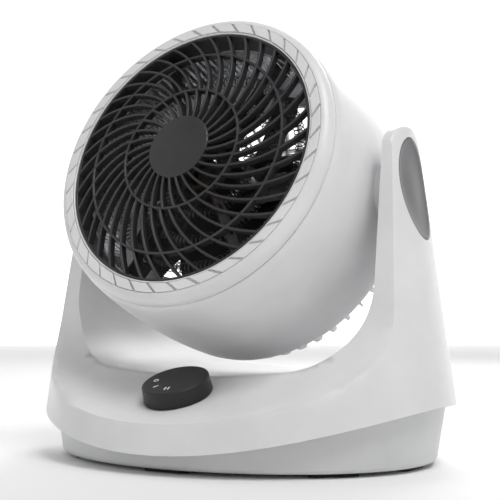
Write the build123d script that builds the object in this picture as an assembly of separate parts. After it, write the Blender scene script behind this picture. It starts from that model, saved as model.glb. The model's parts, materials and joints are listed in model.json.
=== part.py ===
from build123d import *
import math
import os

# Tilting desk fan heater. Millimetres, +Z up, the front faces -Y.
# The origin is on the table, under the middle of the base, with the tilt axis straight above it.

# --- driving dimensions -------------------------------------------------------------------------
GRILLE_R = 85.0            # radius of the round air outlet
PIVOT_Z = 168.6            # height of the tilt axis
TILT = 19.0                # how far the head looks up at rest, degrees
FACE = 72.0                # from the tilt axis forward to the rim of the front grille
WALL = 2.5                 # thickness of the moulded shells
FIT = 0.3                  # gap between parts that lie close together
RUN = 0.05                 # radial play of a turning fit

# yoke: two arms and a skirt in one moulding, oval in plan, narrowing upwards
YOKE_A = 125.5             # half width at the height of the tilt axis
YOKE_B = 88.5              # half depth there
DRAFT_A = 0.13             # growth of the half width for each mm further down
DRAFT_B = 0.125
RIM_ROUND = 2.0            # rounding of the rim of the oval skin, above the parting line
PART_TOP = 38.3            # height of the parting line at the sides
PART_DROP = 24.4           # how much lower it is at the front

# scoop between the arms
SCOOP_W = 111.5            # half width between the arms
SCOOP_FLOOR = 54.0
SCOOP_CORNER = 52.0
SCOOP_FLOOR_R = 480.0

# front band, seen from the side: a slope, an arc and the front edge of the arm
LIP = (-98.3, 33.6)        # y and z of the front lip
LIP_SLOPE = 29.5           # degrees
ARM_FRONT = (-27.2, 165.1)  # a point on the front edge of the arm
ARM_LEAN = 8.7             # degrees from upright
BAND_R = 60.0
DISH_DEPTH = 17.0          # how far the band is set back in the middle, for the knob
DISH_HALF = 95.0
DISH_TOP = 78.0
ARM_TOP_R = 24.0
ARM_TOP = (-1.5, 183.5)
REAR_FOOT = (47.0, 82.0)   # where the rear edge of the arm meets its rear slope
REAR_SLOPE = 30.0
REAR_ROUND = 40.0

# lower tray
TRAY_A, TRAY_B = 137.5, 101.0
TRAY_FOOT_A, TRAY_FOOT_B = 129.5, 97.5
TRAY_BOTTOM = 2.5
TRAY_LIP = 4.0             # how far the tray reaches up inside the skirt
FOOT_L, FOOT_W = 30.0, 9.0
FOOT_A, FOOT_B = 117.5, 85.5
FOOT_ANGLES = (0, 52, 90, 128, 180, 232, 270, 308)
POST_X, POST_Y = 62.0, 34.0  # screw posts that hold the tray
POST_R, POST_Z = 5.0, 20.0
TRAY_SCREW_Z = 6.0
GLAND_R, GLAND_Y, GLAND_Z = 6.0, 107.0, 32.5

# oval caps outside the arms
CAP_Y, CAP_Z = 20.0, 31.5
CAP_LEAN = 6.0

# knob
KNOB_R, KNOB_H = 21.2, 10.0
KNOB_TILT = 22.0
KNOB_SEAT = (0.0, -73.6, 43.4)
KNOB_GAP = 0.6
STEP = 45.0                # angle between two switch positions
MARK_TURN = -80.0          # direction of the off mark, from the front
MARK_R = 12.6
SWITCH_BUSH_R = 4.8

# head shells, in head space: z forward from the tilt axis, r outwards
TRIM_R = 93.8
GROOVE_R, GROOVE_Z = 98.2, 63.8
STEP_R, STEP_Z = 99.9, 60.2
BELLY_R, BELLY_Z = 103.3, -4.0
TAIL_R, TAIL_Z = 101.2, -31.0
SEAM_R, SEAM_Z = 98.0, -36.0
HEAD_WALL = 2.2
REAR_Z = -62.0             # rear face of the rear grille
REAR_FLAT_R = 74.0

# front grille
DOME = 9.6                 # how far the middle stands out
HUB_R = 21.2
RING_1, RING_2 = 40.8, 68.4
RIB_W, RIB_DEPTH = 1.6, 5.0
INNER_RIBS, OUTER_RIBS = 30, 38
SWIRL = 0.93               # turn of a rib over the grille's radius, radians
RIB_POINTS = 6
REAR_FINS = 48

# motor and impeller
SHAFT_R = 3.0
MOTOR_R = 30.0
MOTOR_FRONT, MOTOR_REAR = -4.0, -46.0
FAN_R = 76.0
FAN_HUB_R = 17.0
BLADES = 7
FAN_Z = 16.0

# heater
PLATE_FRONT, PLATE_REAR = 54.0, 36.0
PLATE_R, PLATE_T, PLATES = 81.5, 1.0, 6
COIL_Z, COIL_R = 45.0, 4.0
COIL_RINGS = (30.0, 48.0, 66.0)
SHIELD_R = 82.0

# tilt joint, along X
PIN_R = 5.0
BUSH_R = 8.0
BOSS_R = 17.0
BOSS_END = 108.6
PIN_END = 117.4

# screws
SCREW_R, SCREW_HEAD_R, SCREW_HEAD_H = 1.5, 3.0, 1.8
REAR_SCREW_R = 88.0

HEAD = Pos(0, 0, PIVOT_Z) * Rot(90 - TILT, 0, 0)
KNOB = Pos(*KNOB_SEAT) * Rot(KNOB_TILT, 0, 0)

os.makedirs("parts", exist_ok=True)


def write(name, shape):
    solids = shape.solids()
    export_step(solids[0] if len(solids) == 1 else Compound(children=list(solids)), f"parts/{name}.step")


def ring(r_out, r_in, z_low, z_high):
    """Annular disc around the local Z axis."""
    height = z_high - z_low
    body = Cylinder(r_out, height, align=(Align.CENTER, Align.CENTER, Align.MIN))
    if r_in > 0:
        body -= Cylinder(r_in, height, align=(Align.CENTER, Align.CENTER, Align.MIN))
    return Pos(0, 0, z_low) * body


def spin(points):
    """Solid of revolution about Z from (radius, height) points."""
    outline = make_face(Polyline(*[(r, 0, z) for r, z in points], close=True))
    return revolve(outline, Axis.Z)


def side_slab(outline, half_width):
    """Extrude a closed outline in the YZ plane both ways along X."""
    return extrude(make_face(outline), half_width, dir=(1, 0, 0), both=True)


def yz(point):
    return (0, point[0], point[1])


def mirror_x(shape):
    return mirror(shape, about=Plane.YZ)


# --- yoke ---------------------------------------------------------------------------------------
def oval_loft(inset=0.0, z_low=0.0, z_high=214.0):
    """The oval outer skin, moved in by inset."""
    sections = []
    for z in (z_low, z_high):
        a = YOKE_A + (PIVOT_Z - z) * DRAFT_A - inset
        b = YOKE_B + (PIVOT_Z - z) * DRAFT_B - inset
        sections.append(Pos(0, 0, z) * Ellipse(a, b))
    return loft(sections, ruled=True)


def band_line(z):
    """y of the front edge at height z: slope, arc and arm, joined without a corner."""
    low = math.radians(LIP_SLOPE)
    high = math.radians(90 - ARM_LEAN)
    slope, lean = 1 / math.tan(low), 1 / math.tan(high)
    corner_z = (ARM_FRONT[0] - LIP[0] + LIP[1] * slope - ARM_FRONT[1] * lean) / (slope - lean)
    reach = BAND_R * math.tan((high - low) / 2)
    z_1 = corner_z - reach * math.sin(low)
    z_2 = corner_z + reach * math.sin(high)
    if z <= z_1:
        return LIP[0] + (z - LIP[1]) * slope
    if z >= z_2:
        return ARM_FRONT[0] + (z - ARM_FRONT[1]) * lean
    y_1 = LIP[0] + (z_1 - LIP[1]) * slope
    centre = (y_1 - BAND_R * math.sin(low), z_1 + BAND_R * math.cos(low))
    return centre[0] + math.sqrt(BAND_R ** 2 - (z - centre[1]) ** 2)


def front_cutter():
    """Everything in front of the band: a smooth face pushed forward."""
    rows = []
    z_span = DISH_TOP - LIP[1]
    for z in range(10, 231, 5):
        row = []
        for x in range(-156, 157, 12):
            y = band_line(z)
            if abs(x) < DISH_HALF and LIP[1] < z < DISH_TOP:
                across = (1 - (x / DISH_HALF) ** 2) ** 2
                y += DISH_DEPTH * across * math.sin(math.pi * (z - LIP[1]) / z_span) ** 2
            row.append(Vector(x, y, z))
        rows.append(row)
    face = Face.make_surface_from_array_of_points(rows, tol=0.05)
    return extrude(face, 180, dir=(0, -1, 0))


def arm_outline(inset=0.0):
    """Side view of the moulding above the parting line, without its front."""
    top_y, top_z = ARM_TOP
    radius = ARM_TOP_R - inset
    rear_y, rear_z = REAR_FOOT[0] - inset, REAR_FOOT[1]
    toward = math.atan2(rear_z - top_z, rear_y - top_y)
    leave = toward + math.acos(radius / math.hypot(rear_y - top_y, rear_z - top_z))
    start = (top_y - radius, top_z - 0.25 * radius)
    top = (top_y, top_z + radius)
    end = (top_y + radius * math.cos(leave), top_z + radius * math.sin(leave))
    back_y = 130.0
    back_z = rear_z - (back_y - rear_y) * math.tan(math.radians(REAR_SLOPE)) + 8 - inset
    arc = ThreePointArc(yz(start), yz(top), yz(end))
    path = Polyline(yz(end), yz((rear_y, rear_z)), yz((back_y, back_z)), yz((back_y, -5)),
                    yz((-130, -5)), yz((-130, start[1])), yz(start))
    return arc + path


def parting_cylinder(lower=0.0):
    """The parting surface is part of a wide cylinder along X."""
    chord = YOKE_B + (PIVOT_Z - 14) * DRAFT_B
    radius = (chord ** 2 + PART_DROP ** 2) / (2 * PART_DROP)
    bar = Rot(0, 90, 0) * Cylinder(radius, 400)
    return Pos(0, 4, PART_TOP - lower - radius) * bar


def scoop(grow=0.0):
    """The U between the arms, run through from front to back."""
    half = SCOOP_W + grow
    corner = SCOOP_CORNER + grow
    floor_r = SCOOP_FLOOR_R + grow
    floor = SCOOP_FLOOR - grow
    corner_x = half - corner
    centre_z = floor + floor_r - math.sqrt((floor_r - corner) ** 2 - corner_x ** 2)
    turn = math.asin(corner_x / (floor_r - corner))
    touch_x = floor_r * math.sin(turn)
    touch_z = floor + floor_r * (1 - math.cos(turn))
    mid = (turn + math.pi / 2) / 2
    mid_x = corner_x + corner * math.sin(mid)
    mid_z = centre_z - corner * math.cos(mid)
    outline = (Polyline((-half, 0, centre_z), (-half, 0, 260), (half, 0, 260), (half, 0, centre_z))
               + ThreePointArc((half, 0, centre_z), (mid_x, 0, mid_z), (touch_x, 0, touch_z))
               + ThreePointArc((touch_x, 0, touch_z), (0, 0, floor), (-touch_x, 0, touch_z))
               + ThreePointArc((-touch_x, 0, touch_z), (-mid_x, 0, mid_z), (-half, 0, centre_z)))
    return extrude(make_face(outline), 200, dir=(0, 1, 0), both=True)


def cap_prism(grow, x_low, x_high):
    """Leaning oval bar along X, where a cap sits in the right arm."""
    bar = extrude(Ellipse(CAP_Y + grow, CAP_Z + grow), x_high - x_low)
    turned = Plane(origin=(x_low, 0, PIVOT_Z), x_dir=(0, 1, 0), z_dir=(1, 0, 0)) * Rot(0, 0, CAP_LEAN) * bar
    return turned


def posts(radius, z_low, z_high):
    """Four upright round bars where the tray is screwed to the yoke."""
    bar = ring(radius, 0, z_low, z_high)
    return Part() + [Pos(x, y, 0) * bar for x in (-POST_X, POST_X) for y in (-POST_Y, POST_Y)]


def on_tilt_axis(shape):
    """Turn a shape about Z into one about the tilt axis, at the right side."""
    return Plane(origin=(0, 0, PIVOT_Z), z_dir=(1, 0, 0)) * shape


def yoke_side_form(inset=0.0):
    """The side view run through from left to right, its rear corner rounded."""
    slab = side_slab(arm_outline(inset), 170)
    corner = slab.edges().filter_by(Axis.X).sort_by_distance((0, REAR_FOOT[0] - inset, REAR_FOOT[1]))[0]
    return fillet(corner, REAR_ROUND + inset)


def on_oval_skin(edge):
    """True for an edge that lies on the oval outer skin all the way."""
    for share in (0.1, 0.3, 0.5, 0.7, 0.9):
        p = edge.position_at(share)
        a = YOKE_A + (PIVOT_Z - p.Z) * DRAFT_A
        b = YOKE_B + (PIVOT_Z - p.Z) * DRAFT_B
        if abs((p.X / a) ** 2 + (p.Y / b) ** 2 - 1) > 0.01:
            return False
    return True


def yoke_housing():
    front = front_cutter()
    body = oval_loft() & yoke_side_form()
    body -= scoop()
    body -= front
    body -= parting_cylinder()
    skin = [edge for edge in body.edges() if on_oval_skin(edge)]
    body = fillet([edge for edge in skin if edge.position_at(0.5).Z > PART_TOP + 8], RIM_ROUND)
    hollow = oval_loft(WALL) & yoke_side_form(WALL)
    hollow -= scoop(WALL)
    hollow -= Pos(0, WALL, -WALL) * front
    body -= hollow
    seat = on_tilt_axis(ring(13, 0, SCOOP_W, SCOOP_W + 4))
    body += seat + mirror_x(seat)
    bore = on_tilt_axis(ring(BUSH_R, 0, SCOOP_W - 5, SCOOP_W + 6))
    body -= bore + mirror_x(bore)
    window = cap_prism(FIT, SCOOP_W + 5, 150)
    body -= window + mirror_x(window)
    body += KNOB * ring(KNOB_R + 2.8, 0, -WALL, 0.5) - scoop() - front
    body -= KNOB * ring(KNOB_R + 0.8, 0, 0, 60)
    body -= KNOB * ring(SWITCH_BUSH_R + FIT, 0, -20, 5)
    body += posts(POST_R, POST_Z, SCOOP_FLOOR + 5) - scoop()
    body -= posts(SCREW_R + RUN, POST_Z - 1, POST_Z + 12)
    body -= Rot(90, 0, 0) * Pos(0, GLAND_Z, 0) * ring(GLAND_R + RUN, 0, -130, -90)
    return body


def lower_tray():
    def shell(inset, z_low):
        top = 46.0
        low = Pos(0, 0, z_low) * Ellipse(TRAY_FOOT_A - inset, TRAY_FOOT_B - inset)
        high = Pos(0, 0, top) * Ellipse(TRAY_A - inset, TRAY_B - inset)
        return loft([low, high], ruled=True)

    outer = shell(0, TRAY_BOTTOM)
    outer = fillet(outer.edges().sort_by(Axis.Z)[0], 3.5)
    body = outer - shell(WALL, TRAY_BOTTOM + WALL)
    body &= parting_cylinder(-TRAY_LIP)
    body += posts(POST_R + 1.5, TRAY_BOTTOM, POST_Z - FIT)
    body -= posts(SCREW_R + 0.4, 0, 30)
    body -= posts(SCREW_HEAD_R + 0.4, 0, TRAY_SCREW_Z + SCREW_HEAD_H)
    for foot in feet(FIT, 0, TRAY_BOTTOM + 1.0):
        body -= foot
    return body


def feet(grow, z_low, z_high):
    """Long rubber pads set around the edge of the tray."""
    pads = []
    for degrees in FOOT_ANGLES:
        turn = math.radians(degrees - 90)
        x, y = FOOT_A * math.cos(turn), FOOT_B * math.sin(turn)
        along = math.degrees(math.atan2(FOOT_B * math.cos(turn), -FOOT_A * math.sin(turn)))
        pad = extrude(SlotOverall(FOOT_L + 2 * grow, FOOT_W + 2 * grow), z_high - z_low)
        pads.append(Pos(x, y, z_low) * Rot(0, 0, along) * pad)
    return pads


def arm_cap():
    """Oval cap with a sunk middle, for the right arm."""
    prism = cap_prism(0, SCOOP_W + 3, 150)
    body = (oval_loft(0.5) - oval_loft(5.0)) & prism
    body -= cap_prism(-1.3, SCOOP_W, 150) - oval_loft(3.4)
    return body


def screw(length):
    """Pan head screw, head at the bottom, shank up from z = 0."""
    return ring(SCREW_R, 0, 0, length) + ring(SCREW_HEAD_R, 0, -SCREW_HEAD_H, 0)


def around(shape, count, radius=0.0, start=0.0):
    """Copies of a shape around the local Z axis."""
    return [Rot(0, 0, start + k * 360 / count) * Pos(radius, 0, 0) * shape for k in range(count)]


# --- base, other parts --------------------------------------------------------------------------
def control_knob():
    body = ring(KNOB_R, 0, KNOB_GAP, KNOB_GAP + KNOB_H)
    body = fillet(body.edges().sort_by(Axis.Z)[-1], 1.0)
    return body - ring(SHAFT_R + RUN, 0, 0, 7) - ring(KNOB_R - 2.5, 7, 0, KNOB_H - 2.5)


def knob_marks():
    """Off ring, one bar and two bars, standing 0.2 mm proud of the knob."""
    top = KNOB_GAP + KNOB_H
    height = 0.2
    bar = Box(0.8, 3.4, height, align=(Align.CENTER, Align.CENTER, Align.MIN))
    off = ring(1.7, 1.0, 0, height)
    groups = ([off], [bar], [Pos(-1.1, 0, 0) * bar, Pos(1.1, 0, 0) * bar])
    marks = []
    for step, group in enumerate(groups):
        turn = Rot(0, 0, MARK_TURN + step * STEP) * Pos(0, -MARK_R, top)
        marks += [turn * piece for piece in group]
    return Compound(children=[KNOB * piece.solid() for piece in marks])


def rotary_switch():
    block = Pos(0, 0, -14) * Box(28, 24, 16)
    body = block + ring(SWITCH_BUSH_R, 0, -6, -1)
    return body - ring(SHAFT_R + RUN, 0, -16, 0)


def cord_gland():
    sleeve = ring(GLAND_R, 3.5, -GLAND_Y, -GLAND_Y + 11) + ring(GLAND_R + 2, 3.5, -GLAND_Y + 6, -GLAND_Y + 8)
    return Rot(90, 0, 0) * Pos(0, GLAND_Z, 0) * sleeve


def tip_over_switch():
    box = Pos(40, 60, TRAY_BOTTOM + WALL) * Box(26, 16, 18, align=(Align.CENTER, Align.CENTER, Align.MIN))
    return box


def terminal_block():
    base = Pos(-38, 62, TRAY_BOTTOM + WALL) * Box(36, 14, 12, align=(Align.CENTER, Align.CENTER, Align.MIN))
    holes = [Pos(-38 + x, 62, TRAY_BOTTOM + WALL + 6) * Cylinder(2, 20, align=(Align.CENTER, Align.CENTER, Align.MIN))
             for x in (-12, 0, 12)]
    return base - holes


# --- tilt joint ---------------------------------------------------------------------------------
def pivot_pin():
    return on_tilt_axis(ring(PIN_R, 0, 96, PIN_END) + ring(9, 0, 94, 97.9))


def pivot_washer():
    return on_tilt_axis(ring(14, PIN_R + FIT, BOSS_END + FIT, SCOOP_W - FIT))


def pivot_bush():
    return on_tilt_axis(ring(BUSH_R, PIN_R + RUN, SCOOP_W, SCOOP_W + 4))


def pivot_nut():
    nut = extrude(RegularPolygon(8.0, 6), 1.5) - ring(PIN_R, 0, -1, 3)
    return on_tilt_axis(Pos(0, 0, SCOOP_W + 4.2) * nut)


# --- head ---------------------------------------------------------------------------------------
def barrel_housing():
    wall = HEAD_WALL

    def point(r, z):
        return (r, 0, z)

    outer = ThreePointArc(point(STEP_R, STEP_Z), point(BELLY_R, BELLY_Z), point(TAIL_R, TAIL_Z))
    inner = ThreePointArc(point(TAIL_R - wall, TAIL_Z), point(BELLY_R - wall, BELLY_Z),
                          point(STEP_R - wall, STEP_Z))
    tail = Polyline(point(TAIL_R, TAIL_Z), point(SEAM_R, SEAM_Z), point(SEAM_R - wall, SEAM_Z),
                    point(TAIL_R - wall, TAIL_Z))
    nose_z = GROOVE_Z - 0.4
    nose = Polyline(point(STEP_R - wall, STEP_Z), point(GROOVE_R - wall, nose_z),
                    point(GROOVE_R - 0.1, nose_z), point(STEP_R, STEP_Z))
    body = revolve(make_face(outer + tail + inner + nose), Axis.Z)
    boss = Plane(origin=(0, 0, 0), z_dir=(1, 0, 0)) * ring(BOSS_R, 0, 98, BOSS_END)
    bore = Plane(origin=(0, 0, 0), z_dir=(1, 0, 0)) * ring(PIN_R + RUN, 0, 90, 120)
    body += boss + mirror_x(boss)
    body -= bore + mirror_x(bore)
    lug = ring(4.5, 0, SEAM_Z, SEAM_Z + 14) + Pos(4.5, 0, SEAM_Z + 7) * Box(9, 5, 14)
    body += around(lug, 4, REAR_SCREW_R, 45)
    return body - around(ring(SCREW_R, 0, SEAM_Z - 1, SEAM_Z + 12), 4, REAR_SCREW_R, 45)


def front_trim_ring():
    face = FACE
    inner = GRILLE_R + FIT
    arc = ThreePointArc((TRIM_R - 1.0, 0, face), (96.9, 0, 69.3), (GROOVE_R, 0, GROOVE_Z))
    rest = Polyline((GROOVE_R, 0, GROOVE_Z), (95.3, 0, GROOVE_Z), (95.3, 0, 58), (93.3, 0, 58),
                    (93.3, 0, 66.5), (90.5, 0, face - WALL), (inner + 2, 0, face - WALL), (inner + 2, 0, 58),
                    (inner, 0, 58), (inner, 0, face), (TRIM_R - 1.0, 0, face))
    return revolve(make_face(arc + rest), Axis.Z)


def dome_z(r):
    """Height of the domed front, part of a sphere centred on the axis."""
    sphere = (GRILLE_R ** 2 + DOME ** 2) / (2 * DOME)
    return FACE - 0.3 + math.sqrt(sphere ** 2 - r ** 2) - math.sqrt(sphere ** 2 - GRILLE_R ** 2)


def front_grille_blank():
    """Solid dome with a skirt and a flange behind its rim."""
    rim_out, rim_in = GRILLE_R - 0.05, GRILLE_R - RIB_W

    def on_dome(r, below):
        return (r, 0, dome_z(r) - below)

    top = ThreePointArc(on_dome(0, 0), on_dome(rim_out / 2, 0), on_dome(rim_out, 0))
    skirt = Polyline(on_dome(rim_out, 0), (rim_out, 0, 57.5), (90, 0, 57.5), (90, 0, 55.5),
                     (rim_in, 0, 55.5), on_dome(rim_in, RIB_DEPTH))
    under = ThreePointArc(on_dome(rim_in, RIB_DEPTH), on_dome(rim_in / 2, RIB_DEPTH), on_dome(0, RIB_DEPTH))
    axis = Line(on_dome(0, RIB_DEPTH), on_dome(0, 0))
    return revolve(make_face(top + skirt + under + axis), Axis.Z)


def swirl_point(r, shift):
    """Point on the line of a curved rib, turned on by shift; anticlockwise outwards from the front."""
    turn = SWIRL * r / GRILLE_R + shift
    return (r * math.cos(turn), r * math.sin(turn))


def swirl_slot(r_from, r_to, pitch):
    """The opening between two neighbouring curved ribs."""
    def side(shift, toward):
        points = []
        for k in range(RIB_POINTS):
            r = r_from + (r_to - r_from) * k / (RIB_POINTS - 1)
            half_rib = RIB_W / 2 / r / math.cos(math.atan(SWIRL * r / GRILLE_R))
            points.append(swirl_point(r, shift + toward * half_rib))
        return points

    first, second = side(0, 1), side(pitch, -1)
    outline = Spline(*first) + ThreePointArc(first[-1], swirl_point(r_to, pitch / 2), second[-1])
    outline += Spline(*second[::-1]) + ThreePointArc(second[0], swirl_point(r_from, pitch / 2), first[0])
    return Pos(0, 0, 55) * extrude(make_face(outline), 40)


def front_grille():
    """Domed moulding whose openings leave the hub, two rings, the rim and two sets of curved ribs."""
    half = RIB_W / 2
    rows = ((HUB_R, RING_1 - half, INNER_RIBS), (RING_1 + half, RING_2 - half, OUTER_RIBS),
            (RING_2 + half, GRILLE_R - RIB_W, OUTER_RIBS))
    openings = []
    for r_from, r_to, count in rows:
        openings += around(swirl_slot(r_from, r_to, 2 * math.pi / count), count)
    return front_grille_blank() - openings


def rear_point(step, inset):
    """Point on the rounded rear edge, from the barrel seam (0) to the flat back (1)."""
    turn = step * math.pi / 2
    r = REAR_FLAT_R + (SEAM_R - 0.4 - REAR_FLAT_R - inset) * math.cos(turn)
    z = SEAM_Z - 0.4 + (REAR_Z + inset - SEAM_Z + 0.4) * math.sin(turn)
    return (r, 0, z)


def rear_layer(depth):
    outer = [rear_point(k / 6, 0) for k in range(7)]
    inner = [rear_point(k / 6, depth) for k in range(7)]
    edge = Spline(*outer) + Line(outer[-1], (20, 0, REAR_Z)) + Line((20, 0, REAR_Z), (20, 0, REAR_Z + depth))
    edge += Line((20, 0, REAR_Z + depth), inner[-1]) + Spline(*inner[::-1]) + Line(inner[0], outer[0])
    return revolve(make_face(edge), Axis.Z)


def rear_grille():
    layer = rear_layer(4.0)
    fin = Pos(64, 0, -50) * Box(72, 1.8, 40) & layer
    rims = [layer & ring(r, r - 3, -70, -30) for r in (98, 80, 58)]
    plate = ring(36, 0, REAR_Z, REAR_Z + 3)
    lug = ring(4.5, 0, -54, SEAM_Z - 0.4)
    body = plate + rims + around(fin, REAR_FINS) + around(lug, 4, REAR_SCREW_R, 45)
    body -= around(ring(SCREW_R + 0.2, 0, -70, 0), 4, REAR_SCREW_R, 45)
    return body - around(ring(SCREW_HEAD_R + 0.3, 0, -70, -48), 4, REAR_SCREW_R, 45)


def heater_frame():
    """Crossed mica plates that carry the heating coils."""
    depth = PLATE_FRONT - PLATE_REAR
    plate = Pos((16 + PLATE_R) / 2, 0, (PLATE_FRONT + PLATE_REAR) / 2) * Box(PLATE_R - 16, PLATE_T, depth)
    plate -= [Pos(r, 0, COIL_Z) * Rot(90, 0, 0) * Cylinder(COIL_R + FIT, 10) for r in COIL_RINGS]
    return ring(17, 14, PLATE_REAR, PLATE_FRONT) + around(plate, PLATES)


def heater_coils():
    return [Pos(0, 0, COIL_Z) * Torus(r, COIL_R) for r in COIL_RINGS]


def heat_shield():
    return ring(SHIELD_R + 0.7, SHIELD_R, 30, 55)


def shield_brackets():
    tab = Pos(0, 0, 40) * Box(98.4 - SHIELD_R - 0.7, 12, 2, align=(Align.MIN, Align.CENTER, Align.MIN))
    return around(tab, 3, SHIELD_R + 0.7, 30)


def thermal_cutout():
    return Pos(57, PLATE_T / 2, COIL_Z) * Rot(-90, 0, 0) * ring(4.2, 0, 0, 3)


def thermal_fuse():
    return Pos(39, PLATE_T / 2 + 1.6, COIL_Z) * Cylinder(1.6, 8)


def motor_front_shell():
    mid = (MOTOR_FRONT + MOTOR_REAR) / 2
    return ring(MOTOR_R, MOTOR_R - 1.5, mid, MOTOR_FRONT) + ring(MOTOR_R, 6, MOTOR_FRONT - 1.5, MOTOR_FRONT)


def motor_rear_shell():
    mid = (MOTOR_FRONT + MOTOR_REAR) / 2
    return ring(MOTOR_R, MOTOR_R - 1.5, MOTOR_REAR, mid) + ring(MOTOR_R, 6, MOTOR_REAR, MOTOR_REAR + 1.5)


def motor_mount():
    """Ring around the motor with four arms to the barrel."""
    arm = Pos((98.4 + MOTOR_R) / 2 + 1.5, 0, -21) * Box(98.4 - MOTOR_R - 3, 9, 3)
    return ring(MOTOR_R + 4, MOTOR_R, -24, -19.5) + around(arm, 4)


def impeller():
    hub = ring(FAN_HUB_R, SHAFT_R, 2, 30) - ring(FAN_HUB_R - 2, SHAFT_R + 3, 2, 27)
    span = FAN_R - FAN_HUB_R + 2
    blade = Pos(FAN_HUB_R - 2, 0, FAN_Z) * Rot(32, 0, 0) * Box(span, 42, 1.8, align=(Align.MIN, Align.CENTER, Align.CENTER))
    blade &= ring(FAN_R, FAN_HUB_R - 1, 2, 30)
    return hub + around(blade, BLADES)


def shaft_nut():
    return extrude(Pos(0, 0, 30.1) * RegularPolygon(5, 6), 3.4) - ring(SHAFT_R, 0, 28, 36)


def write_sides(name, shape):
    write(f"{name}_right", shape)
    write(f"{name}_left", mirror_x(shape))


# --- write every part ---------------------------------------------------------------------------
write("yoke_housing", yoke_housing())
write("lower_tray", lower_tray())
write("rubber_feet", Compound(children=[foot.solid() for foot in feet(0, 0, TRAY_BOTTOM + 0.9)]))
tray_screw = Pos(0, 0, TRAY_SCREW_Z + SCREW_HEAD_H) * screw(POST_Z + 10 - TRAY_SCREW_Z - SCREW_HEAD_H)
write("tray_screws", Compound(children=[(Pos(x, y, 0) * tray_screw).solid()
                                        for x in (-POST_X, POST_X) for y in (-POST_Y, POST_Y)]))
write_sides("arm_cap", arm_cap())
write_sides("pivot_pin", pivot_pin())
write_sides("pivot_washer", pivot_washer())
write_sides("pivot_bush", pivot_bush())
write_sides("pivot_nut", pivot_nut())
write("rotary_switch", KNOB * rotary_switch())
write("switch_spindle", KNOB * ring(SHAFT_R, 0, -16, 6.5))
write("control_knob", KNOB * control_knob())
write("knob_marks", knob_marks())
write("tip_over_switch", tip_over_switch())
write("terminal_block", terminal_block())
write("cord_gland", cord_gland())

write("barrel_housing", HEAD * barrel_housing())
write("front_trim_ring", HEAD * front_trim_ring())
write("front_grille", HEAD * front_grille())
write("rear_grille", HEAD * rear_grille())
rear_screw = Pos(0, 0, -48) * screw(34 - 14)
write("rear_screws", Compound(children=[(HEAD * part).solid() for part in around(rear_screw, 4, REAR_SCREW_R, 45)]))
write("heater_frame", HEAD * heater_frame())
write("heater_coils", Compound(children=[(HEAD * coil).solid() for coil in heater_coils()]))
write("heat_shield", HEAD * heat_shield())
write("shield_brackets", Compound(children=[(HEAD * tab).solid() for tab in shield_brackets()]))
write("thermal_cutout", HEAD * thermal_cutout())
write("thermal_fuse", HEAD * thermal_fuse())
write("motor_front_shell", HEAD * motor_front_shell())
write("motor_rear_shell", HEAD * motor_rear_shell())
write("motor_mount", HEAD * motor_mount())
write("motor_stator", HEAD * ring(MOTOR_R - 1.5, 17.5, -36, -14))
write("motor_rotor_core", HEAD * ring(17, SHAFT_R, -36, -14))
write("motor_shaft", HEAD * ring(SHAFT_R, 0, MOTOR_REAR + 1, 34.5))
write("front_bearing", HEAD * ring(6, SHAFT_R + RUN, MOTOR_FRONT - 5, MOTOR_FRONT))
write("rear_bearing", HEAD * ring(6, SHAFT_R + RUN, MOTOR_REAR, MOTOR_REAR + 5))
write("impeller", HEAD * impeller())
write("shaft_nut", HEAD * shaft_nut())
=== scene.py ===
import json
import math

import bmesh
import bpy
from mathutils import Euler, Matrix, Vector


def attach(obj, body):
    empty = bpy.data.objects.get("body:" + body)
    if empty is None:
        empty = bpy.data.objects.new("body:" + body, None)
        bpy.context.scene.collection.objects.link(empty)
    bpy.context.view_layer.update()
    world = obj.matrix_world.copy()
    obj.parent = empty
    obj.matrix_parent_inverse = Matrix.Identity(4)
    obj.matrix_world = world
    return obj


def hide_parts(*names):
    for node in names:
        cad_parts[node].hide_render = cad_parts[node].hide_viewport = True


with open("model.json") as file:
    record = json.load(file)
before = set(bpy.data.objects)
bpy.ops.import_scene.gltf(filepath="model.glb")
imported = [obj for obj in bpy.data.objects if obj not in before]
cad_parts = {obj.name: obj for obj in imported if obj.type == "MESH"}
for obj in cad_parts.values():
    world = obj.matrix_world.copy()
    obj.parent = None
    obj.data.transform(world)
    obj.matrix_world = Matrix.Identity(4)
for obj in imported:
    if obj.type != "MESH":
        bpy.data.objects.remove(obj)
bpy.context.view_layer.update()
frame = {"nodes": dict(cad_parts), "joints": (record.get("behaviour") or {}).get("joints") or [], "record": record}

MM = 0.001
TAU = math.tau

# --- where things are, from the frame -----------------------------------------------------------
joints = {joint["name"]: joint for joint in frame["joints"]}
PIVOT = Vector(joints["head_tilt"]["pos_m"])
AIR_AXIS = Vector(joints["fan_spin"]["axis"]).normalized()
KNOB_SEAT = Vector(joints["knob_turn"]["pos_m"])
KNOB_AXIS = -Vector(joints["knob_turn"]["axis"]).normalized()


def upright(axis):
    """Angle about X that lays the local Z axis along an axis in the YZ plane."""
    return math.atan2(-axis.y, axis.z)


HEAD = Matrix.Translation(PIVOT) @ Matrix.Rotation(upright(AIR_AXIS), 4, "X")
KNOB = Matrix.Translation(KNOB_SEAT) @ Matrix.Rotation(upright(KNOB_AXIS), 4, "X")

# --- camera, floor and light --------------------------------------------------------------------
CAMERA_AT = (0.3496, -0.5703, 0.0846)
CAMERA_TURN = 31.1         # degrees to the right of straight ahead
CAMERA_LIFT = 4.4          # looks up by this much
LENS = 72.0
SENSOR = 36.0
FLOOR_HALF = 6.0           # metres
BACKDROP_AT = 4.0          # how far the backdrop stands behind the object, metres


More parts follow.
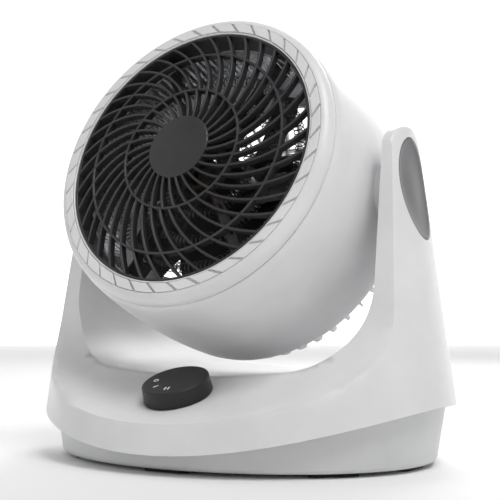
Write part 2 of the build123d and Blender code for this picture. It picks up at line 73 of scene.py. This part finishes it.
def make_camera():
    data = bpy.data.cameras.new("camera")
    data.lens = LENS
    data.sensor_width = SENSOR
    camera = bpy.data.objects.new("camera", data)
    camera.location = CAMERA_AT
    camera.rotation_euler = Euler((math.radians(90 + CAMERA_LIFT), 0, math.radians(CAMERA_TURN)))
    bpy.context.scene.collection.objects.link(camera)
    bpy.context.scene.camera = camera


def add_light(name, place, target, size, power):
    data = bpy.data.lights.new(name, "AREA")
    data.shape = "SQUARE"
    data.size = size
    data.energy = power
    light = bpy.data.objects.new(name, data)
    light.location = place
    light.rotation_euler = (Vector(target) - Vector(place)).to_track_quat("-Z", "Y").to_euler()
    bpy.context.scene.collection.objects.link(light)


def make_room():
    mesh = bpy.data.meshes.new("floor")
    half = FLOOR_HALF
    corners = [(-half, -half, 0), (half, -half, 0), (half, half, 0), (-half, half, 0)]
    mesh.from_pydata(corners, [], [(0, 1, 2, 3)])
    floor = bpy.data.objects.new("floor", mesh)
    bpy.context.scene.collection.objects.link(floor)
    mesh.materials.append(plain_floor())
    wall = bpy.data.meshes.new("backdrop")
    away = Vector((-math.sin(math.radians(CAMERA_TURN)), math.cos(math.radians(CAMERA_TURN)), 0))
    across = Vector((away.y, -away.x, 0))
    feet = [away * BACKDROP_AT - across * half, away * BACKDROP_AT + across * half]
    wall.from_pydata(feet + [foot + Vector((0, 0, half)) for foot in feet[::-1]], [], [(0, 1, 2, 3)])
    wall.materials.append(lit_backdrop())
    screen = new_object("backdrop", wall)
    world = bpy.data.worlds.new("studio")
    world.use_nodes = True
    world.node_tree.nodes["Background"].inputs["Color"].default_value = (1, 1, 1, 1)
    world.node_tree.nodes["Background"].inputs["Strength"].default_value = 0.34
    bpy.context.scene.world = world
    add_light("key", (0.9, -0.5, 1.6), (0, 0, 0.15), 0.8, 17)
    add_light("fill", (-1.2, -1.3, 0.7), (0, 0, 0.15), 1.2, 3)
    add_light("back", (-0.3, 1.3, 1.3), (0, 0, 0.2), 0.9, 9)
    bpy.context.scene.view_settings.view_transform = "Standard"


# --- materials ----------------------------------------------------------------------------------
def srgb(code):
    """Linear colour of an sRGB hex value."""
    channels = [int(code[i:i + 2], 16) / 255 for i in (1, 3, 5)]
    linear = [c / 12.92 if c <= 0.04045 else ((c + 0.055) / 1.055) ** 2.4 for c in channels]
    return (*linear, 1.0)


def add(tree, kind, links=None, values=None, **settings):
    """Adds a node, sets it up and links its inputs."""
    made = tree.nodes.new(kind)
    for key, value in settings.items():
        setattr(made, key, value)
    for key, value in (values or {}).items():
        made.inputs[key].default_value = value
    for key, value in (links or {}).items():
        tree.links.new(value, made.inputs[key])
    return made


def start_material(name):
    material = bpy.data.materials.new(name)
    material.use_nodes = True
    tree = material.node_tree
    tree.nodes.clear()
    shader = add(tree, "ShaderNodeBsdfPrincipled")
    add(tree, "ShaderNodeOutputMaterial", {"Surface": shader.outputs[0]})
    place = add(tree, "ShaderNodeTexCoord").outputs["Object"]
    return material, tree, shader, place


def noise(tree, place, size_mm, detail=3.0, rough=0.55):
    """Noise whose grains are about size_mm across."""
    made = add(tree, "ShaderNodeTexNoise", {"Vector": place},
               {"Scale": 1 / (size_mm * MM), "Detail": detail, "Roughness": rough})
    return made.outputs["Fac"]


def spread(tree, value, low, high):
    """Maps a 0.3 to 0.7 noise value to a range."""
    made = add(tree, "ShaderNodeMapRange", {"Value": value},
               {"From Min": 0.3, "From Max": 0.7, "To Min": low, "To Max": high})
    return made.outputs["Result"]


def two_tone(tree, factor, dark, light):
    made = add(tree, "ShaderNodeMix", {"Factor": factor}, data_type="RGBA")
    for socket in made.inputs:
        if socket.type == "RGBA":
            socket.default_value = srgb(dark if socket.name == "A" else light)
    return next(out for out in made.outputs if out.type == "RGBA")


def bump(tree, shader, height, depth_mm, strength=0.4):
    values = {"Strength": strength, "Distance": depth_mm * MM}
    made = add(tree, "ShaderNodeBump", {"Height": height}, values)
    tree.links.new(made.outputs["Normal"], shader.inputs["Normal"])


def moulded_plastic(name, dark, light, gloss, grain_mm, grain_depth, ior=1.5):
    """Injection-moulded plastic: a fine spark-eroded grain, with a slow drift in tone and gloss."""
    material, tree, shader, place = start_material(name)
    cloud = noise(tree, place, 35.0, 2.0)
    grain = noise(tree, place, grain_mm, 4.0, 0.7)
    tree.links.new(two_tone(tree, spread(tree, cloud, 0.0, 1.0), dark, light), shader.inputs["Base Color"])
    tree.links.new(spread(tree, grain, gloss - 0.05, gloss + 0.05), shader.inputs["Roughness"])
    shader.inputs["IOR"].default_value = ior
    bump(tree, shader, grain, grain_depth)
    return material


def sheet_steel(name, dark, light, rough, spangle_mm):
    """Galvanised steel sheet: zinc crystals give patches of slightly different grey and gloss."""
    material, tree, shader, place = start_material(name)
    cells = add(tree, "ShaderNodeTexVoronoi", {"Vector": place}, {"Scale": 1 / (spangle_mm * MM)})
    scratch = noise(tree, place, 1.2, 4.0, 0.7)
    tone = spread(tree, cells.outputs["Distance"], 0.0, 1.0)
    tree.links.new(two_tone(tree, tone, dark, light), shader.inputs["Base Color"])
    tree.links.new(spread(tree, scratch, rough - 0.08, rough + 0.08), shader.inputs["Roughness"])
    shader.inputs["Metallic"].default_value = 1.0
    bump(tree, shader, scratch, 0.02)
    return material


def turned_metal(name, dark, light, rough):
    """Drawn or turned bar: fine lines round the part, so highlights stretch."""
    material, tree, shader, place = start_material(name)
    lines = add(tree, "ShaderNodeTexWave", {"Vector": place},
                {"Scale": 1 / (0.8 * MM), "Distortion": 2.0, "Detail": 2.0})
    tree.links.new(two_tone(tree, lines.outputs["Fac"], dark, light), shader.inputs["Base Color"])
    tree.links.new(spread(tree, lines.outputs["Fac"], rough - 0.05, rough + 0.1), shader.inputs["Roughness"])
    shader.inputs["Metallic"].default_value = 1.0
    bump(tree, shader, lines.outputs["Fac"], 0.01)
    return material


def pressed_mica(name):
    """Mica board browned by heat: dark flakes pressed flat, with a dull sheen."""
    material, tree, shader, place = start_material(name)
    flakes = add(tree, "ShaderNodeTexVoronoi", {"Vector": place}, {"Scale": 1 / (3.0 * MM)})
    tone = spread(tree, flakes.outputs["Distance"], 0.0, 1.0)
    tree.links.new(two_tone(tree, tone, "#2f2a24", "#3d372f"), shader.inputs["Base Color"])
    shader.inputs["Roughness"].default_value = 0.45
    bump(tree, shader, flakes.outputs["Distance"], 0.05)
    return material


def perforated_sheet(name):
    """Perforated liner sheet: small dark holes in bright steel, so the liner looks dotted."""
    material, tree, shader, place = start_material(name)
    holes = add(tree, "ShaderNodeTexVoronoi", {"Vector": place}, {"Scale": 1 / (2.4 * MM), "Randomness": 0.25})
    edge = add(tree, "ShaderNodeMapRange", {"Value": holes.outputs["Distance"]},
               {"From Min": 0.26, "From Max": 0.34}).outputs["Result"]
    tree.links.new(two_tone(tree, edge, "#121212", "#b5b6b8"), shader.inputs["Base Color"])
    tree.links.new(edge, shader.inputs["Metallic"])
    shader.inputs["Roughness"].default_value = 0.32
    bump(tree, shader, edge, 0.3, 0.7)
    return material


def plain_floor():
    material, _, shader, _ = start_material("studio_paper")
    shader.inputs["Base Color"].default_value = srgb("#fafafa")
    shader.inputs["Roughness"].default_value = 0.9
    return material


def lit_backdrop():
    """White studio screen, lit so that it reads as pure white."""
    material, _, shader, _ = start_material("lit_screen")
    shader.inputs["Base Color"].default_value = srgb("#ffffff")
    shader.inputs["Emission Color"].default_value = srgb("#ffffff")
    shader.inputs["Emission Strength"].default_value = 1.0
    return material


def make_materials():
    return {
        "white_abs": moulded_plastic("satin_white_abs", "#dcdcdd", "#e4e4e5", 0.36, 0.6, 0.012),
        # The tray finish is the white ABS made darker: painted shade for the tray tucked under the shell's
        # overhang. Its coarser grain and gloss are real.
        "tray_abs_painted_shade": moulded_plastic("textured_white_abs_painted_shade", "#cfd0d0", "#d8d8d9", 0.48, 0.9, 0.05),
        "black_pp": moulded_plastic("satin_black_polypropylene", "#2b2b2d", "#343436", 0.42, 0.7, 0.02),
        "knob_black": moulded_plastic("matt_black_abs", "#161617", "#1d1d1f", 0.5, 0.5, 0.02),
        "mark_white": moulded_plastic("pad_printed_white_ink", "#e6e6e6", "#f0f0f0", 0.55, 0.4, 0.005),
        "grey_abs": moulded_plastic("matt_grey_abs", "#69696b", "#757577", 0.45, 0.6, 0.02),
        "rubber_grey": moulded_plastic("dark_rubber", "#2a2a2a", "#333333", 0.8, 0.8, 0.05, 1.52),
        "nylon": moulded_plastic("natural_nylon", "#d8d3c6", "#e3dfd3", 0.4, 0.8, 0.02, 1.53),
        "switch_dark": moulded_plastic("dark_phenolic", "#1c1c1f", "#26262a", 0.35, 1.0, 0.02, 1.6),
        "lamination": moulded_plastic("varnished_laminations", "#3a3430", "#4a423c", 0.35, 0.6, 0.05),
        "galvanised": sheet_steel("galvanised_sheet", "#9a9c9f", "#b9bbbd", 0.35, 6.0),
        "zinc_steel": sheet_steel("zinc_plated_steel", "#a9abad", "#c4c5c6", 0.3, 3.0),
        "bright_steel": turned_metal("ground_steel", "#b4b5b7", "#c8c9ca", 0.22),
        "bronze": turned_metal("sintered_bronze", "#8a6a3c", "#9c7a48", 0.45),
        "resistance_wire": turned_metal("nickel_chrome_wire", "#6a6866", "#7d7b78", 0.35),
        "mica": pressed_mica("pressed_mica_board"),
        "perforated": perforated_sheet("perforated_liner_sheet"),
    }


# --- mesh helpers -------------------------------------------------------------------------------
def finish_mesh(mesh, angle=32.0):
    for face in mesh.polygons:
        face.use_smooth = True
    mesh.set_sharp_from_angle(angle=math.radians(angle))


def new_object(name, mesh):
    made = bpy.data.objects.new(name, mesh)
    bpy.context.scene.collection.objects.link(made)
    return made


def mesh_from(name, points, faces):
    """Mesh in millimetres, normals made to point outwards."""
    mesh = bpy.data.meshes.new(name)
    mesh.from_pydata([(x * MM, y * MM, z * MM) for x, y, z in points], [], faces)
    work = bmesh.new()
    work.from_mesh(mesh)
    bmesh.ops.remove_doubles(work, verts=work.verts, dist=1e-7)
    bmesh.ops.recalc_face_normals(work, faces=work.faces)
    work.to_mesh(mesh)
    work.free()
    finish_mesh(mesh)
    return mesh


def lathe(name, profile, steps=192):
    """Closed ring turned about Z from a closed (radius, height) outline."""
    count = len(profile)
    points = []
    for k in range(steps):
        turn = TAU * k / steps
        points += [(r * math.cos(turn), r * math.sin(turn), z) for r, z in profile]
    faces = []
    for k in range(steps):
        here, there = k * count, (k + 1) % steps * count
        for i in range(count):
            j = (i + 1) % count
            faces.append((here + i, here + j, there + j, there + i))
    return mesh_from(name, points, faces)


def disc_lathe(name, profile, steps=192):
    """Solid turned about Z from an outline that starts and ends on the axis."""
    inner = profile[1:-1]
    count = len(inner)
    points = [(0, 0, profile[0][1]), (0, 0, profile[-1][1])]
    for k in range(steps):
        turn = TAU * k / steps
        points += [(r * math.cos(turn), r * math.sin(turn), z) for r, z in inner]
    faces = []
    for k in range(steps):
        here, there = 2 + k * count, 2 + (k + 1) % steps * count
        faces.append((0, here, there))
        faces.append((1, there + count - 1, here + count - 1))
        for i in range(count - 1):
            faces.append((here + i, here + i + 1, there + i + 1, there + i))
    return mesh_from(name, points, faces)


def arc(centre, radius, start, end, steps=8):
    """Points on an arc in the (radius, height) plane, angles in degrees."""
    points = []
    for k in range(steps + 1):
        turn = math.radians(start + (end - start) * k / steps)
        points.append((centre[0] + radius * math.cos(turn), centre[1] + radius * math.sin(turn)))
    return points


def through(first, middle, last, steps=24):
    """Points on the circle through three points, from the first to the last."""
    (ax, ay), (bx, by), (cx, cy) = first, middle, last
    d = 2 * (ax * (by - cy) + bx * (cy - ay) + cx * (ay - by))
    a2, b2, c2 = ax * ax + ay * ay, bx * bx + by * by, cx * cx + cy * cy
    ux = (a2 * (by - cy) + b2 * (cy - ay) + c2 * (ay - by)) / d
    uy = (a2 * (cx - bx) + b2 * (ax - cx) + c2 * (bx - ax)) / d
    radius = math.hypot(ax - ux, ay - uy)
    start = math.degrees(math.atan2(ay - uy, ax - ux))
    end = math.degrees(math.atan2(cy - uy, cx - ux))
    return arc((ux, uy), radius, start, end, steps)


def sweep(name, path, section):
    """Bar along a path in the XY plane with heights; the section holds (side, height) pairs."""
    count = len(section)
    points = []
    for k, (x, y, z) in enumerate(path):
        before, after = path[max(k - 1, 0)], path[min(k + 1, len(path) - 1)]
        along = Vector((after[0] - before[0], after[1] - before[1])).normalized()
        side = Vector((-along.y, along.x))
        points += [(x + side.x * s, y + side.y * s, z + h) for s, h in section]
    faces = [tuple(range(count)), tuple(range((len(path) - 1) * count, len(path) * count))[::-1]]
    for k in range(len(path) - 1):
        for i in range(count):
            j = (i + 1) % count
            faces.append((k * count + i, k * count + j, (k + 1) * count + j, (k + 1) * count + i))
    return mesh_from(name, points, faces)


def plate(name, outline, thickness):
    """Flat plate: an outline in the XZ plane, thick along Y."""
    count = len(outline)
    points = [(x, -thickness / 2, z) for x, z in outline] + [(x, thickness / 2, z) for x, z in outline]
    faces = [tuple(range(count)), tuple(range(count, 2 * count))[::-1]]
    faces += [(i, (i + 1) % count, count + (i + 1) % count, count + i) for i in range(count)]
    return mesh_from(name, points, faces)


def placed(name, meshes, place, material):
    """Joins meshes into one piece and moves it to its place in the frame."""
    work = bmesh.new()
    for mesh in meshes:
        work.from_mesh(mesh)
    joined = bpy.data.meshes.new(name)
    work.to_mesh(joined)
    work.free()
    joined.transform(place)
    joined.materials.clear()
    joined.materials.append(material)
    finish_mesh(joined)
    return new_object(name, joined)


# --- geometry nodes: one shape repeated around an axis ------------------------------------------
def ring_tree():
    tree = bpy.data.node_groups.new("repeat_around_axis", "GeometryNodeTree")
    face = tree.interface
    face.new_socket("Shape", in_out="INPUT", socket_type="NodeSocketGeometry")
    face.new_socket("Count", in_out="INPUT", socket_type="NodeSocketInt")
    face.new_socket("Start", in_out="INPUT", socket_type="NodeSocketFloat")
    face.new_socket("Finish", in_out="INPUT", socket_type="NodeSocketMaterial")
    face.new_socket("Ring", in_out="OUTPUT", socket_type="NodeSocketGeometry")
    given = add(tree, "NodeGroupInput").outputs
    seats = add(tree, "GeometryNodeMeshLine", {"Count": given["Count"]}, {"Offset": (0, 0, 0)})
    index = add(tree, "GeometryNodeInputIndex")
    share = add(tree, "ShaderNodeMath", {0: index.outputs[0], 1: given["Count"]}, operation="DIVIDE")
    turn = add(tree, "ShaderNodeMath", {0: share.outputs[0], 2: given["Start"]}, {1: TAU},
               operation="MULTIPLY_ADD")
    angles = add(tree, "ShaderNodeCombineXYZ", {"Z": turn.outputs[0]})
    rotation = add(tree, "FunctionNodeEulerToRotation", {0: angles.outputs[0]})
    copies = add(tree, "GeometryNodeInstanceOnPoints",
                 {"Points": seats.outputs[0], "Instance": given["Shape"], "Rotation": rotation.outputs[0]})
    solid = add(tree, "GeometryNodeRealizeInstances", {"Geometry": copies.outputs[0]})
    coloured = add(tree, "GeometryNodeSetMaterial", {"Geometry": solid.outputs[0], "Material": given["Finish"]})
    add(tree, "NodeGroupOutput", {"Ring": coloured.outputs[0]})
    return tree


def run_tree(tree, mesh, **inputs):
    """Runs a tree on a mesh and gives back the plain mesh that it makes."""
    holder = new_object("work", mesh)
    modifier = holder.modifiers.new("tree", "NODES")
    modifier.node_group = tree
    for name, value in inputs.items():
        modifier[tree.interface.items_tree[name].identifier] = value
    graph = bpy.context.evaluated_depsgraph_get()
    result = bpy.data.meshes.new_from_object(holder.evaluated_get(graph))
    holder.modifiers.clear()
    bpy.data.objects.remove(holder)
    return result


def around(mesh, count, material, start=0.0):
    return run_tree(RING, mesh, Count=count, Start=start, Finish=material)


# --- the head -----------------------------------------------------------------------------------
GRILLE_R, FACE, DOME = 85.0, 72.0, 9.6
HUB_R, RING_1, RING_2 = 21.2, 40.8, 68.4
RIB_W, RIB_DEPTH = 1.6, 5.0
SWIRL = 0.93
INNER_RIBS, OUTER_RIBS, REAR_FINS, BLADES = 30, 38, 48, 7
TRIM_PADS = 38
RIB_HALF = RIB_W / 2
RIB_SECTION = [(-RIB_HALF, -RIB_DEPTH), (-RIB_HALF, -0.6), (-0.45, -0.12),
               (0.45, -0.12), (RIB_HALF, -0.6), (RIB_HALF, -RIB_DEPTH)]


def dome_z(r):
    return FACE - 0.3 + DOME * (1 - (r / GRILLE_R) ** 2)


def swirl(r):
    return SWIRL * r / GRILLE_R


def rib_mesh(r_from, r_to):
    path = []
    for k in range(15):
        r = r_from + (r_to - r_from) * k / 14
        path.append((r * math.cos(swirl(r)), r * math.sin(swirl(r)), dome_z(r)))
    return sweep("rib", path, RIB_SECTION)


def grille_ring(r):
    z = dome_z(r)
    return lathe("grille_ring", [(r + s, z + h) for s, h in RIB_SECTION])


def make_front_grille(finish):
    hub_z = dome_z(HUB_R)
    top = [(HUB_R * k / 8, dome_z(HUB_R * k / 8)) for k in range(8)]
    hub = disc_lathe("hub", top + [(HUB_R - 0.5, hub_z), (HUB_R, hub_z - 0.5), (HUB_R, hub_z - RIB_DEPTH),
                                   (HUB_R - 1.6, hub_z - RIB_DEPTH), (HUB_R - 1.6, hub_z - 2.2),
                                   (0, dome_z(0) - 2.2)])
    rim = lathe("rim", [(84.9, 71.2), (84.5, 71.8), (83.8, 71.8), (83.4, 71.2), (83.4, 55.6), (89.9, 55.6),
                        (89.9, 57.4), (84.9, 57.4)])
    inner = around(rib_mesh(HUB_R - RIB_HALF, RING_1), INNER_RIBS, finish)
    outer = around(rib_mesh(RING_1, 84.0), OUTER_RIBS, finish)
    pieces = [hub, grille_ring(RING_1), grille_ring(RING_2), rim, inner, outer]
    return placed("front_grille_moulding", pieces, HEAD, finish)


def make_trim(finish):
    crown = through((92.8, 72.0), (96.9, 69.3), (98.2, 63.9), 10)
    channel = [(86.1, 72.0), (86.3, 70.6), (92.6, 70.6), (92.7, 72.0)]
    outline = [(85.3, 71.7), (85.6, 72.0)] + channel + crown
    outline += [(95.4, 63.8), (95.4, 58.0), (93.3, 58.0), (93.3, 66.5)]
    outline += [(90.5, 69.5), (87.3, 69.5), (87.3, 58.0), (85.3, 58.0)]
    return placed("front_trim_moulding", [lathe("trim", outline, 256)], HEAD, finish)


def pad_mesh():
    """One slanted pad: a curved parallelogram, standing in the ring's channel, its edges chamfered."""
    inner, outer, gap = 86.6, 92.4, 1.15
    pitch = TAU / TRIM_PADS
    lean = math.tan(math.radians(50)) * (outer - inner) / 89.0
    levels = ((70.3, 0.0), (72.3, 0.0), (72.6, 0.25))
    points, faces = [], []
    columns = 7
    for z, inset in levels:
        ring = []
        for side in (0, 1):
            r = inner + inset if side == 0 else outer - inset
            for k in range(columns):
                edge = (gap + inset) / r
                share = k / (columns - 1)
                turn = edge + (pitch - 2 * edge) * share + lean * (r - inner) / (outer - inner)
                ring.append((r * math.cos(turn), r * math.sin(turn), z))
        points += ring[:columns] + ring[columns:][::-1]
    count = 2 * columns
    for level in range(len(levels) - 1):
        low = level * count
        for i in range(count):
            j = (i + 1) % count
            faces.append((low + i, low + j, low + count + j, low + count + i))
    top = (len(levels) - 1) * count
    for k in range(columns - 1):
        faces.append((top + k, top + k + 1, top + count - 2 - k, top + count - 1 - k))
        faces.append((k + 1, k, count - 1 - k, count - 2 - k))
    return mesh_from("pad", points, faces)


def make_trim_pads(finish):
    return placed("front_trim_pads", [around(pad_mesh(), TRIM_PADS, finish)], HEAD, finish)


def make_barrel(finish):
    outer = through((99.9, 60.2), (103.3, -4.0), (101.2, -31.0), 40)
    inner = through((99.0, -31.0), (101.1, -4.0), (97.7, 60.2), 24)
    outline = [(98.0, 63.3), (98.6, 63.0), (99.7, 60.8)] + outer[1:]
    outline += [(100.6, -33.6), (99.4, -35.2), (98.0, -36.0), (95.8, -36.0)] + inner + [(96.4, 63.3)]
    wall = lathe("barrel", outline, 256)
    boss = lathe("boss", [(5.2, 98.5), (17.0, 98.5), (17.0, 107.9), (16.4, 108.5), (5.2, 108.5)], 96)
    bosses = []
    for turn in (90, -90):
        copy = boss.copy()
        copy.transform(Matrix.Rotation(math.radians(turn), 4, "Y"))
        bosses.append(copy)
    return placed("barrel_moulding", [wall] + bosses, HEAD, finish)


REAR_FLAT_R, SEAM_R, SEAM_Z, REAR_Z = 74.0, 97.6, -36.4, -62.0


def rear_curve(inset, steps=10):
    points = []
    for k in range(steps + 1):
        turn = math.pi / 2 * k / steps
        r = REAR_FLAT_R + (SEAM_R - REAR_FLAT_R - inset) * math.cos(turn)
        z = SEAM_Z + (REAR_Z + inset - SEAM_Z) * math.sin(turn)
        points.append((r, z))
    return points


def make_rear_grille(finish):
    outer, inner = rear_curve(0), rear_curve(4)
    fin = plate("fin", outer + [(34, REAR_Z), (34, REAR_Z + 4)] + inner[::-1], 1.8)
    fins = around(fin, REAR_FINS, finish)
    front = lathe("front_ring", [(97.6, -36.4), (97.4, -39.5), (94.2, -39.5), (94.2, -36.4)])
    middle = lathe("middle_ring", [(80, -61.6), (80, -58.0), (77, -58.0), (77, -61.8)])
    small = lathe("small_ring", [(58, -62.0), (58, -58.0), (55, -58.0), (55, -62.0)])
    slats = []
    for r in range(38, 74, 4):
        slats.append(lathe("slat", [(r, -61.9), (r + 1.2, -61.9), (r + 1.2, -58.0), (r, -58.0)]))
    back = disc_lathe("plate", [(0, -62), (34.5, -62), (36, -61.2), (36, -59), (0, -59)])
    return placed("rear_grille_moulding", [fins, front, middle, small, back] + slats, HEAD, finish)


def make_heat_shield(finish):
    """Corrugated liner: 120 shallow waves around the air path."""
    steps, waves = 1440, 120
    points, faces = [], []
    for k in range(steps):
        turn = TAU * k / steps
        wave = 0.18 * math.sin(turn * waves)
        for r, z in ((82.2, 30), (82.2, 55), (82.5, 55), (82.5, 30)):
            points.append(((r + wave) * math.cos(turn), (r + wave) * math.sin(turn), z))
    for k in range(steps):
        here, there = 4 * k, 4 * ((k + 1) % steps)
        faces += [(here + i, here + (i + 1) % 4, there + (i + 1) % 4, there + i) for i in range(4)]
    return placed("corrugated_liner", [mesh_from("liner", points, faces)], HEAD, finish)


def coil_wire(ring_r, turns, wire_r=0.35, coil_r=3.4, sides=6, per_turn=14):
    """Resistance wire wound as a helix that closes on itself around a ring."""
    count = turns * per_turn
    points, faces = [], []
    for k in range(count):
        a = TAU * k / count
        b = TAU * k / per_turn
        out = Vector((math.cos(a), math.sin(a), 0))
        spoke = out * math.cos(b) + Vector((0, 0, 1)) * math.sin(b)
        centre = out * ring_r + Vector((0, 0, 45.0)) + spoke * coil_r
        along = Vector((-math.sin(a), math.cos(a), 0))
        wind = (out * -math.sin(b) + Vector((0, 0, 1)) * math.cos(b)) * coil_r * turns + along * ring_r
        wind.normalize()
        second = wind.cross(spoke).normalized()
        for s in range(sides):
            c = TAU * s / sides
            points.append(tuple(centre + (spoke * math.cos(c) + second * math.sin(c)) * wire_r))
    for k in range(count):
        here, there = k * sides, (k + 1) % count * sides
        faces += [(here + s, here + (s + 1) % sides, there + (s + 1) % sides, there + s) for s in range(sides)]
    return mesh_from("coil", points, faces)


def make_coils(finish):
    coils = [coil_wire(30.0, 64), coil_wire(48.0, 100), coil_wire(66.0, 138)]
    return placed("heating_coil_wires", coils, HEAD, finish)


def blade_mesh():
    """Swept, twisted blade that thins towards its edges."""
    rows, columns = 14, 12
    points, faces = [], []
    for i in range(rows):
        share = i / (rows - 1)
        r = 15.5 + (75.5 - 15.5) * share
        pitch = math.radians(42 - 20 * share)
        chord = 26 + 14 * math.sin(math.pi * min(share * 0.75 + 0.1, 1))
        sweep_angle = 0.25 * share * share
        loop = []
        for k in range(2 * columns):
            top = k < columns
            t = k / (columns - 1) if top else (2 * columns - 1 - k) / (columns - 1)
            c = (t - 0.5) * chord
            camber = 0.08 * chord * (1 - (2 * t - 1) ** 2)
            half = 0.9 * math.sqrt(max(0.0, 1 - (2 * t - 1) ** 4)) * (1 - 0.4 * share) + 0.12
            h = camber + (half if top else -half)
            turn = (c * math.cos(pitch) - h * math.sin(pitch)) / r + sweep_angle
            z = 16 - (c * math.sin(pitch) + h * math.cos(pitch))
            loop.append((r * math.cos(turn), r * math.sin(turn), max(2.3, min(29.7, z))))
        points += loop
    count = 2 * columns
    for i in range(rows - 1):
        for k in range(count):
            j = (k + 1) % count
            faces.append((i * count + k, i * count + j, (i + 1) * count + j, (i + 1) * count + k))
    faces.append(tuple(range(count)))
    faces.append(tuple(range((rows - 1) * count, rows * count))[::-1])
    return mesh_from("blade", points, faces)


def make_impeller(finish):
    hub = lathe("hub", [(3.1, 29.9), (14.5, 29.9), (16.4, 29.0), (17, 27), (17, 2.2), (15, 2.2), (15, 26.5),
                        (6, 26.5), (6, 2.2), (3.1, 2.2)], 96)
    return placed("impeller_moulding", [hub, around(blade_mesh(), BLADES, finish)], HEAD, finish)


# --- base pieces --------------------------------------------------------------------------------
def make_knob(finish):
    skirt = [(0, 10.55), (18.0, 10.6)] + arc((19.5, 9.5), 1.1, 90, 0, 6)
    skirt += [(21.1, 1.2), (20.9, 0.7), (18.7, 0.7), (18.7, 7.8), (6.0, 7.8), (0, 7.8)]
    return placed("control_knob_moulding", [disc_lathe("knob", skirt, 160)], KNOB, finish)


CAD_EDGE = 20.0            # edges of the CAD shapes sharper than this stay crisp, degrees
YOKE_A, YOKE_B, DRAFT_A, DRAFT_B = 125.5, 88.5, 0.13, 0.125
CAP_Y, CAP_Z, CAP_LEAN = 20.0, 31.5, 6.0


def skin_x(y, z, inset):
    """Half width of the oval skin at a side-view point."""
    a = YOKE_A + (PIVOT.z / MM - z) * DRAFT_A - inset
    b = YOKE_B + (PIVOT.z / MM - z) * DRAFT_B - inset
    return a * math.sqrt(1 - (y / b) ** 2)


def make_cap(name, side, finish):
    """Oval cap whose middle is a smooth bowl."""
    lean = math.radians(CAP_LEAN)
    steps = 72
    levels = [0.0, 0.15, 0.3, 0.45, 0.6, 0.72, 0.82, 0.88, 0.92, 0.935, 0.95, 0.985, 1.0]
    points, faces = [], []

    def place(share, turn, inset):
        u, v = CAP_Y * share * math.cos(turn), CAP_Z * share * math.sin(turn)
        y = u * math.cos(lean) - v * math.sin(lean)
        z = PIVOT.z / MM + u * math.sin(lean) + v * math.cos(lean)
        return (side * skin_x(y, z, inset), y, z)

    for share in levels[1:]:
        sink = 0.5 if share > 0.94 else 0.5 + 2.9 * (1 - (share / 0.94) ** 3.2) ** 0.8
        if share == 1.0:
            sink = 0.75
        points += [place(share, TAU * k / steps, sink) for k in range(steps)]
    points += [place(1.0, TAU * k / steps, 4.8) for k in range(steps)]
    rings = len(levels)
    for ring_index in range(rings - 1):
        low, high = ring_index * steps, (ring_index + 1) * steps
        faces += [(low + k, low + (k + 1) % steps, high + (k + 1) % steps, high + k) for k in range(steps)]
    middle, back = len(points), len(points) + 1
    points += [place(0, 0, 3.4), place(0, 0, 4.8)]
    faces += [(middle, (k + 1) % steps, k) for k in range(steps)]
    last = (rings - 1) * steps
    faces += [(back, last + k, last + (k + 1) % steps) for k in range(steps)]
    return placed(name, [mesh_from(name, points, faces)], Matrix.Identity(4), finish)


def weighted(mesh):
    """Mesh whose normals lean to its large faces, so that thin triangles don't mark the shading."""
    holder = new_object("work", mesh)
    modifier = holder.modifiers.new("normals", "WEIGHTED_NORMAL")
    modifier.keep_sharp = True
    modifier.weight = 100
    graph = bpy.context.evaluated_depsgraph_get()
    result = bpy.data.meshes.new_from_object(holder.evaluated_get(graph))
    holder.modifiers.clear()
    bpy.data.objects.remove(holder)
    return result


def carry(node, slot_name, finish):
    """Merged, smooth-shaded copy of a CAD node whose shape is already right."""
    source = frame["nodes"][node]
    mesh = source.data.copy()
    work = bmesh.new()
    work.from_mesh(mesh)
    bmesh.ops.remove_doubles(work, verts=work.verts, dist=2e-6)
    work.to_mesh(mesh)
    work.free()
    mesh.materials.clear()
    mesh.materials.append(finish)
    finish_mesh(mesh, CAD_EDGE)
    piece = new_object(node + "_surface", weighted(mesh))
    settle(piece, body_of_node(node), slot_name, node)
    return piece


def body_of_node(node):
    for body, members in frame["record"]["behaviour"]["bodies"].items():
        if node in members:
            return body
    raise KeyError(node)


def settle(piece, body, slot_name, *nodes):
    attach(piece, body)
    if nodes:
        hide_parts(*nodes)


make_camera()
make_room()
finishes = make_materials()
RING = ring_tree()

settle(make_front_grille(finishes["black_pp"]), "head", "black_pp", "front_grille")
settle(make_trim(finishes["white_abs"]), "head", "white_abs", "front_trim_ring")
settle(make_trim_pads(finishes["white_abs"]), "head", "white_abs")
settle(make_barrel(finishes["white_abs"]), "head", "white_abs", "barrel_housing")
settle(make_rear_grille(finishes["white_abs"]), "head", "white_abs", "rear_grille")
settle(make_heat_shield(finishes["perforated"]), "head", "galvanised", "heat_shield")
settle(make_coils(finishes["resistance_wire"]), "head", "resistance_wire", "heater_coils")
settle(make_impeller(finishes["black_pp"]), "fan", "black_pp", "impeller")
settle(make_knob(finishes["knob_black"]), "knob", "knob_black", "control_knob")
settle(make_cap("arm_cap_right_moulding", 1, finishes["grey_abs"]), "base", "grey_abs", "arm_cap_right")
settle(make_cap("arm_cap_left_moulding", -1, finishes["grey_abs"]), "base", "grey_abs", "arm_cap_left")

done = {"front_grille", "front_trim_ring", "barrel_housing", "rear_grille", "heat_shield", "heater_coils",
        "impeller", "control_knob", "arm_cap_right", "arm_cap_left"}
slots = {row["node"]: row["material_slot"] for row in frame["record"]["subparts"]}
for node_name in sorted(slots):
    if node_name not in done:
        # The lower tray takes the darker tray finish in place of its own slot, which is painted shade under the
        # shell's overhang.
        chosen = "tray_abs_painted_shade" if node_name == "lower_tray" else slots[node_name]
        carry(node_name, slots[node_name], finishes[chosen])
